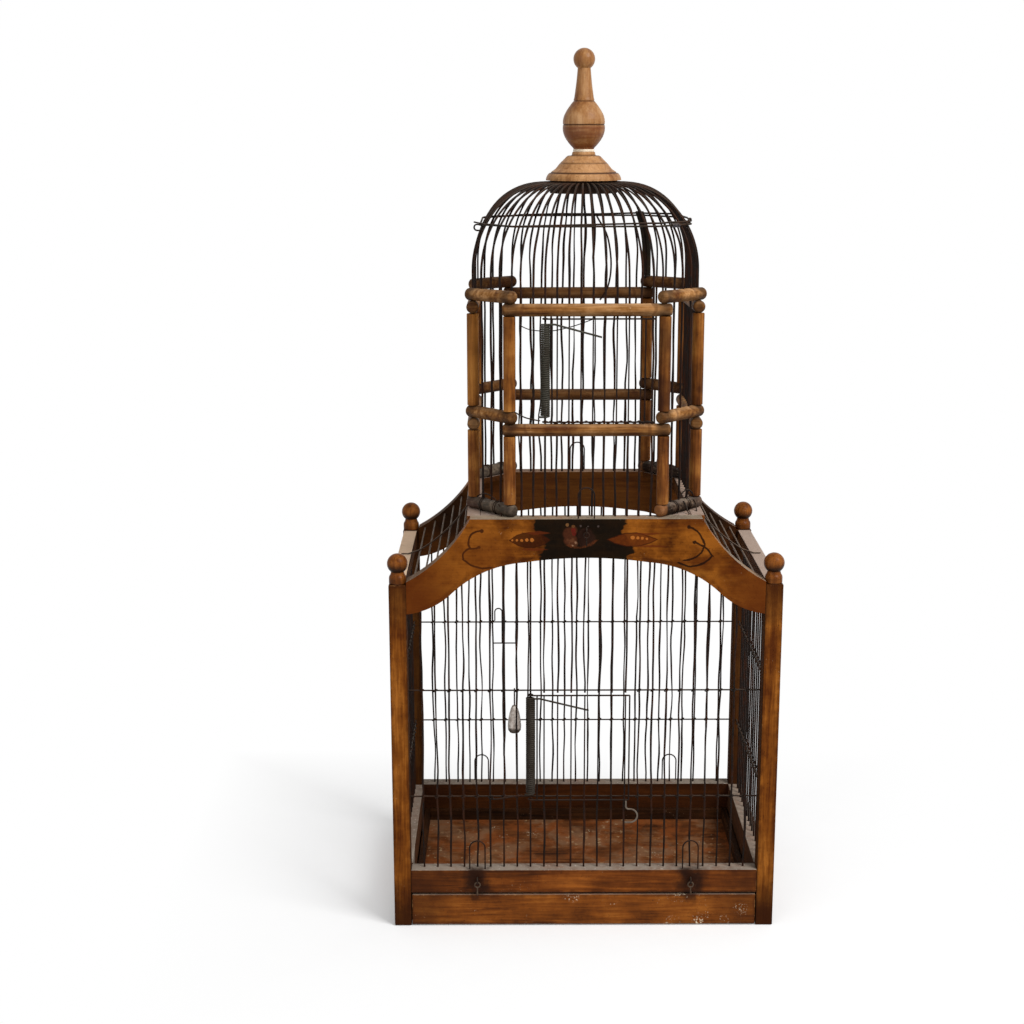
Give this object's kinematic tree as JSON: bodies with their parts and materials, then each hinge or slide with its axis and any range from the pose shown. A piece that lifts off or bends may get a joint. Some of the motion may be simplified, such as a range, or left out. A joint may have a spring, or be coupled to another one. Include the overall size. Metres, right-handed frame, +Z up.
{
  "type": "bird cage",
  "caption": "Wooden bird cage with wire bars, sliding tray, sloped roof and an eight-sided domed tower with a turned finial; sprung wire doors swing outward.",
  "frame": {"origin": "on the floor, under the middle of the base", "axes": "+Z up, front with the doors towards -Y, +X to the right seen from the front"},
  "size_m": [0.383, 0.262, 0.8585],
  "materials": {
    "post_wood": "old varnish, worn at the edges",
    "ball_wood": "old varnish on turned wood",
    "rail_wood": "old varnish, dusty on top",
    "runner_wood": "bare wood",
    "painted_board": "old varnish with a painted flower spray",
    "plain_board": "old varnish",
    "eave_wood": "dusty bare wood",
    "sill_wood": "dusty bare wood",
    "tray_front_wood": "old varnish, chipped below",
    "tray_wood": "stained wood",
    "tray_floor_wood": "stained, flecked with droppings and seed dust",
    "bar_wire": "dark rusted wire",
    "roof_wire": "dark rusted wire",
    "foot_rod_wood": "dusty turned wood",
    "rod_wood": "old varnish on turned wood",
    "tower_post_wood": "old varnish on turned wood",
    "pin_wire": "dark rusted wire",
    "dome_wire": "dark rusted wire",
    "stay_tin": "dull tarnished tin",
    "crown_wood": "dark stained wood",
    "finial_wood": "honey varnish on turned wood",
    "washer_wood": "bare pale wood",
    "door_wire": "dark rusted wire",
    "spring_wire": "dark oxidised spring wire",
    "hook_wire": "dark rusted wire",
    "pendant_glaze": "pale glaze"
  },
  "bodies": {
    "cage": {"back_arch_board": "plain_board", "back_bars": "bar_wire", "back_rail": "rail_wood", "cap_washer": "washer_wood", "corner_ball_finials": "ball_wood", "corner_post_back_left": "post_wood", "corner_post_back_right": "post_wood", "corner_post_front_left": "post_wood", "corner_post_front_right": "post_wood", "crown_block": "crown_wood", "dome_hoop": "dome_wire", "dome_stay": "stay_tin", "feeder_arches": "hook_wire", "finial_cap": "finial_wood", "front_arch_board": "painted_board", "front_back_cross_wires": "bar_wire", "front_bars": "bar_wire", "front_rail": "rail_wood", "hook_eyes": "hook_wire", "left_bars": "bar_wire", "left_eave_rail": "eave_wood", "left_side_rail": "rail_wood", "left_tower_sill": "sill_wood", "right_bars": "bar_wire", "right_eave_rail": "eave_wood", "right_side_rail": "rail_wood", "right_tower_sill": "sill_wood", "roof_slope_wires": "roof_wire", "roof_wires": "roof_wire", "side_cross_wires": "bar_wire", "spire_finial": "finial_wood", "tower_back_bars": "dome_wire", "tower_corner_bars": "dome_wire", "tower_corner_pins": "pin_wire", "tower_foot_rods": "foot_rod_wood", "tower_front_bars": "dome_wire", "tower_lower_posts": "tower_post_wood", "tower_mid_rods": "rod_wood", "tower_side_bars": "dome_wire", "tower_top_rods": "rod_wood", "tower_upper_posts": "tower_post_wood", "tray_runners": "runner_wood"},
    "tray": {"tray_front": "tray_front_wood", "tray_back": "tray_wood", "tray_side_left": "tray_wood", "tray_side_right": "tray_wood", "tray_floor": "tray_floor_wood"},
    "lower_door": {"lower_door_grille": "door_wire", "lower_door_pull": "door_wire", "lower_door_spring": "spring_wire"},
    "upper_door": {"upper_door_grille": "door_wire", "upper_door_spring": "spring_wire"},
    "front_left_hook": {"front_left_hook": "hook_wire"},
    "front_right_hook": {"front_right_hook": "hook_wire"},
    "front_board_hook": {"front_board_hook": "hook_wire"},
    "back_left_hook": {"back_left_hook": "hook_wire"},
    "back_right_hook": {"back_right_hook": "hook_wire"},
    "back_board_hook": {"back_board_hook": "hook_wire"},
    "treat_hook": {"treat_hook": "hook_wire"},
    "pendant": {"pendant": "pendant_glaze"}
  },
  "joints": [
    {"name": "tray_slide", "type": "slide", "parent": "cage", "child": "tray", "axis": [0, -1, 0], "range_m": [0, 0.19]},
    {"name": "lower_door_hinge", "type": "hinge", "parent": "cage", "child": "lower_door", "pos_m": [-0.05323, -0.1125, 0.188], "axis": [0, 0, -1], "range_deg": [0, 105], "stiffness_Nm_per_rad": 0.012, "springref_deg": -17.19},
    {"name": "upper_door_hinge", "type": "hinge", "parent": "cage", "child": "upper_door", "pos_m": [-0.03931, -0.1085, 0.5605], "axis": [0, 0, -1], "range_deg": [0, 105], "stiffness_Nm_per_rad": 0.012, "springref_deg": -17.19},
    {"name": "front_left_hook_swing", "type": "hinge", "parent": "cage", "child": "front_left_hook", "pos_m": [-0.10646, -0.1259, 0.0505], "axis": [-1, 0, 0], "range_deg": [-12, 80]},
    {"name": "front_right_hook_swing", "type": "hinge", "parent": "cage", "child": "front_right_hook", "pos_m": [0.10646, -0.1259, 0.0505], "axis": [-1, 0, 0], "range_deg": [-12, 80]},
    {"name": "front_board_hook_swing", "type": "hinge", "parent": "cage", "child": "front_board_hook", "pos_m": [0, -0.1259, 0.4095], "axis": [-1, 0, 0], "range_deg": [-12, 80]},
    {"name": "back_left_hook_swing", "type": "hinge", "parent": "cage", "child": "back_left_hook", "pos_m": [-0.10646, 0.1259, 0.0505], "axis": [1, 0, 0], "range_deg": [-12, 80]},
    {"name": "back_right_hook_swing", "type": "hinge", "parent": "cage", "child": "back_right_hook", "pos_m": [0.10646, 0.1259, 0.0505], "axis": [1, 0, 0], "range_deg": [-12, 80]},
    {"name": "back_board_hook_swing", "type": "hinge", "parent": "cage", "child": "back_board_hook", "pos_m": [0, 0.1259, 0.4095], "axis": [1, 0, 0], "range_deg": [-12, 80]},
    {"name": "treat_hook_swing", "type": "hinge", "parent": "cage", "child": "treat_hook", "pos_m": [-0.0825, 0.11083, 0.2491], "axis": [-1, 0, 0], "range_deg": [0, 60]},
    {"name": "pendant_swing", "type": "hinge", "parent": "cage", "child": "pendant", "pos_m": [-0.069, -0.11083, 0.2455], "axis": [1, 0, 0], "range_deg": [0, 60]}
  ]
}
